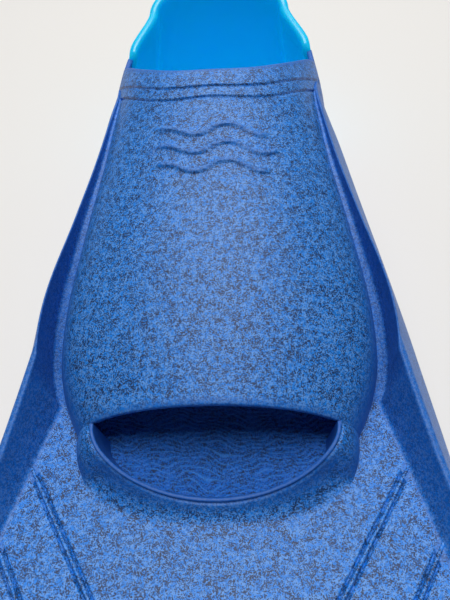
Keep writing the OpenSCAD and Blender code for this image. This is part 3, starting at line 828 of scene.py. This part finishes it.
def stretched(tree, value, low, high):
    """Map a 0 to 1 value onto low to high."""
    made = tree.nodes.new("ShaderNodeMapRange")
    made.inputs["To Min"].default_value = low
    made.inputs["To Max"].default_value = high
    link(tree, value, made.inputs["Value"])
    return made.outputs["Result"]


# %% Speckled rubber
DARK_CRUMB, BROWN_CRUMB = (0.004, 0.026, 0.11), (0.016, 0.034, 0.085)
# The first blue goes where the clear mark is high: partly the crumb-free skin's own colour and partly
# painted shade. The second is a painted highlight on the footbed's raised lines.
BARE_AND_SHADE_BLUE, CONTOUR_HIGHLIGHT_BLUE = (0.003, 0.070, 0.37), (0.05, 0.25, 0.75)


def speckled_rubber(name, blue, pale, rough=(0.42, 0.52), shine=0.42, lines=False):
    """Blue rubber with dark and brown crumbs, satin, with a fine moulded grain."""
    material, tree, shader = principled(name)
    place = tree.nodes.new("ShaderNodeTexCoord")
    bare_and_shade_mark = tree.nodes.new("ShaderNodeAttribute")
    bare_and_shade_mark.attribute_name = "clear"
    crumb = tree.nodes.new("ShaderNodeGroup")
    crumb.node_tree = CRUMB
    link(tree, place.outputs["Object"], crumb.inputs["Vector"])
    link(tree, bare_and_shade_mark.outputs["Fac"], crumb.inputs["Clear"])
    colour = blend_colour(tree, crumb.outputs["Tint"], blue, pale)
    colour = blend_colour(tree, crumb.outputs["Dark"], colour, DARK_CRUMB)
    colour = blend_colour(tree, crumb.outputs["Brown"], colour, BROWN_CRUMB)
    # Where the clear mark is high the colour goes to a deeper blue: partly the crumb-free skin's own
    # colour and partly painted shade on the low sides, the skirt, the lip and the rails.
    bare_and_shade_share = node(tree, "ShaderNodeMath", "MULTIPLY", bare_and_shade_mark.outputs["Fac"], 0.75)
    colour = blend_colour(tree, bare_and_shade_share, colour, BARE_AND_SHADE_BLUE)
    # The contour lines are lightened towards a paler blue: a painted highlight on the raised lines.
    if lines:
        line = tree.nodes.new("ShaderNodeAttribute")
        line.attribute_name = "line"
        share = stretched(tree, line.outputs["Fac"], 0.0, 0.55)
        colour = blend_colour(tree, share, colour, CONTOUR_HIGHLIGHT_BLUE)
    link(tree, colour, shader.inputs["Base Color"])
    link(tree, stretched(tree, crumb.outputs["Height"], *rough), shader.inputs["Roughness"])
    shader.inputs["Specular IOR Level"].default_value = shine
    bump = tree.nodes.new("ShaderNodeBump")
    bump.inputs["Strength"].default_value = 0.4
    bump.inputs["Distance"].default_value = 0.0002
    link(tree, crumb.outputs["Height"], bump.inputs["Height"])
    link(tree, bump.outputs["Normal"], shader.inputs["Normal"])
    return material


speckled = speckled_rubber("speckled_rubber", (0.004, 0.210, 0.77), (0.105, 0.320, 0.80))
# The footbed's blues are darker than the pocket's outer rubber: painted shade deep inside the pocket.
shaded_bed_rubber = speckled_rubber("footbed_rubber", (0.003, 0.110, 0.50), (0.022, 0.130, 0.52),
                             rough=(0.6, 0.7), shine=0.15, lines=True)
sole_rubber = speckled_rubber("sole_rubber", (0.004, 0.130, 0.54), (0.050, 0.170, 0.55),
                              rough=(0.5, 0.62))

# %% [markdown]
# ## Soft heel rubber
# The heel compound is a pure, bright rubber, smooth from a polished mould. A slow noise varies the
# gloss and a very shallow ripple keeps the highlights from looking like glass. Light goes some way into
# the rubber, so it scatters below the surface, and a faint emission stands for light through the wall.

# %% Soft heel rubber
def soft_rubber():
    """Bright cyan rubber: a soft gloss, light scattered below the surface, and a faint glow."""
    material, tree, shader = principled("soft_heel_rubber")
    place = tree.nodes.new("ShaderNodeTexCoord")
    slow = tree.nodes.new("ShaderNodeTexNoise")
    slow.inputs["Scale"].default_value = 60.0
    slow.inputs["Detail"].default_value = 3.0
    link(tree, place.outputs["Object"], slow.inputs["Vector"])
    link(tree, blend_colour(tree, slow.outputs["Fac"], (0.0, 0.44, 0.93), (0.0, 0.50, 0.97)),
         shader.inputs["Base Color"])
    link(tree, stretched(tree, slow.outputs["Fac"], 0.26, 0.36), shader.inputs["Roughness"])
    # The emission is a painted glow that stands for light coming through the thin wall.
    shader.inputs["Emission Color"].default_value = (0.0, 0.55, 0.85, 1)
    shader.inputs["Emission Strength"].default_value = 0.2
    shader.inputs["Subsurface Weight"].default_value = 0.9
    shader.inputs["Subsurface Radius"].default_value = (0.2, 0.7, 1.0)
    shader.inputs["Subsurface Scale"].default_value = 0.012
    bump = tree.nodes.new("ShaderNodeBump")
    bump.inputs["Strength"].default_value = 0.12
    bump.inputs["Distance"].default_value = 0.0008
    link(tree, slow.outputs["Fac"], bump.inputs["Height"])
    link(tree, bump.outputs["Normal"], shader.inputs["Normal"])
    return material


heel_rubber = soft_rubber()

# %% [markdown]
# ## Dressing the pieces
# Each piece gets its finish and hides the CAD nodes it stands for. The instep, toe wall, footbed and
# heel seat ride on the foot's body; the blade's stretches, the rails and the heel cup only have their
# transforms baked.

# %% Assign and attach
def finish_piece(piece, material, slot, *nodes):
    """Gives a piece its one material and hides the CAD nodes it replaces; slot is not used."""
    piece.data.materials.clear()
    piece.data.materials.append(material)
    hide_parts(*nodes)


finish_piece(instep, speckled, "speckled_rubber", "instep_upper", "ankle_hem", "wave_badge")
finish_piece(toe, speckled, "speckled_rubber", "toe_wall", "toe_lip")
finish_piece(bed, shaded_bed_rubber, "footbed_rubber", "footbed")
finish_piece(seat, heel_rubber, "soft_heel_rubber", "heel_seat")
for piece in (instep, toe, bed, seat):
    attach(piece, "foot")

finish_piece(cup, heel_rubber, "soft_heel_rubber", "heel_cup", "heel_side_left", "heel_side_right")
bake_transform(cup)

STANDS_FOR = [
    ["blade_root", "blade_root_ribs"],
    ["blade_base", "blade_base_ribs"],
    ["blade_mid", "blade_mid_ribs", "blade_tip", "blade_tip_ribs"],
]
for sheet, stretch, nodes in zip(sheets, STRETCHES, STANDS_FOR):
    finish_piece(sheet, speckled, "speckled_rubber", *nodes)
    bend(sheet)
for (word, k), piece in rails.items():
    nodes = [[f"{word}_strake"], [f"{word}_rail_base"], [f"{word}_rail_mid", f"{word}_rail_tip"]][k]
    finish_piece(piece, speckled, "speckled_rubber", *nodes)
    bend(piece)

sole = frame["nodes"]["outsole"]
sole.data.materials.clear()
sole.data.materials.append(sole_rubber)

# %% [markdown]
# ## Stage, light and camera
# A sheet of pale paper, a wide soft light overhead, a wider and weaker one from behind the heel, and a
# faint light from everywhere. The light from behind brings out the ribs and the rims.

# %% Stage
def stage():
    """A flat square of paper just under the fin."""
    mesh = bpy.data.meshes.new("floor")
    size = 6.0
    corners = [(-size, -size, 0), (size, -size, 0), (size, size, 0), (-size, size, 0)]
    mesh.from_pydata(corners, [], [(0, 1, 2, 3)])
    floor = bpy.data.objects.new("floor", mesh)
    bpy.context.scene.collection.objects.link(floor)
    floor.location.z = cad_box[0][2] - 0.0002
    material, tree, shader = principled("paper")
    shader.inputs["Base Color"].default_value = (0.81, 0.79, 0.76, 1)
    shader.inputs["Roughness"].default_value = 0.9
    mesh.materials.append(material)


def area_light(name, place, target, size, power):
    """A square light at a place, turned to face the target."""
    light = bpy.data.lights.new(name, "AREA")
    light.size = size
    light.energy = power
    holder = bpy.data.objects.new(name, light)
    bpy.context.scene.collection.objects.link(holder)
    holder.location = place
    holder.rotation_euler = (Vector(target) - Vector(place)).to_track_quat("-Z", "Y").to_euler()


def world():
    """An even, faint and slightly cool light from all sides."""
    surroundings = bpy.data.worlds.new("soft_room")
    surroundings.use_nodes = True
    background = surroundings.node_tree.nodes["Background"]
    background.inputs["Color"].default_value = (0.96, 0.98, 1.0, 1)
    background.inputs["Strength"].default_value = 0.07
    bpy.context.scene.world = surroundings


stage()
world()
area_light("overhead", (0.0, 0.1, 1.5), (0, 0.02, 0), 0.8, 18.2)
area_light("behind", (0.0, 1.3, 1.1), (0, 0.1, 0.03), 1.2, 10)


# %% Camera
def camera():
    """The eye stands over the blade's tip side and looks down towards the heel, turned a little."""
    az, el, roll = math.radians(4.78), math.radians(51.27), math.radians(-5.1)
    look = np.array([-math.sin(az) * math.cos(el), math.cos(az) * math.cos(el), -math.sin(el)])
    level = np.cross(look, [0, 0, 1])
    level /= np.linalg.norm(level)
    up = np.cross(level, look)
    right = math.cos(roll) * level + math.sin(roll) * up
    top = -math.sin(roll) * level + math.cos(roll) * up
    data = bpy.data.cameras.new("camera")
    data.sensor_width = 36
    data.sensor_fit = "AUTO"
    data.lens = data.sensor_width / 2 / math.tan(math.radians(61.14) / 2)
    data.clip_start = 0.005
    holder = bpy.data.objects.new("camera", data)
    bpy.context.scene.collection.objects.link(holder)
    turned = Matrix([list(v) for v in np.stack([right, top, -look], 1)]).to_4x4()
    turned.translation = (0.0139, -0.0954, 0.188)
    holder.matrix_world = turned
    bpy.context.scene.camera = holder


camera()
bpy.context.scene.view_settings.view_transform = "Standard"
bpy.context.scene.view_settings.look = "None"
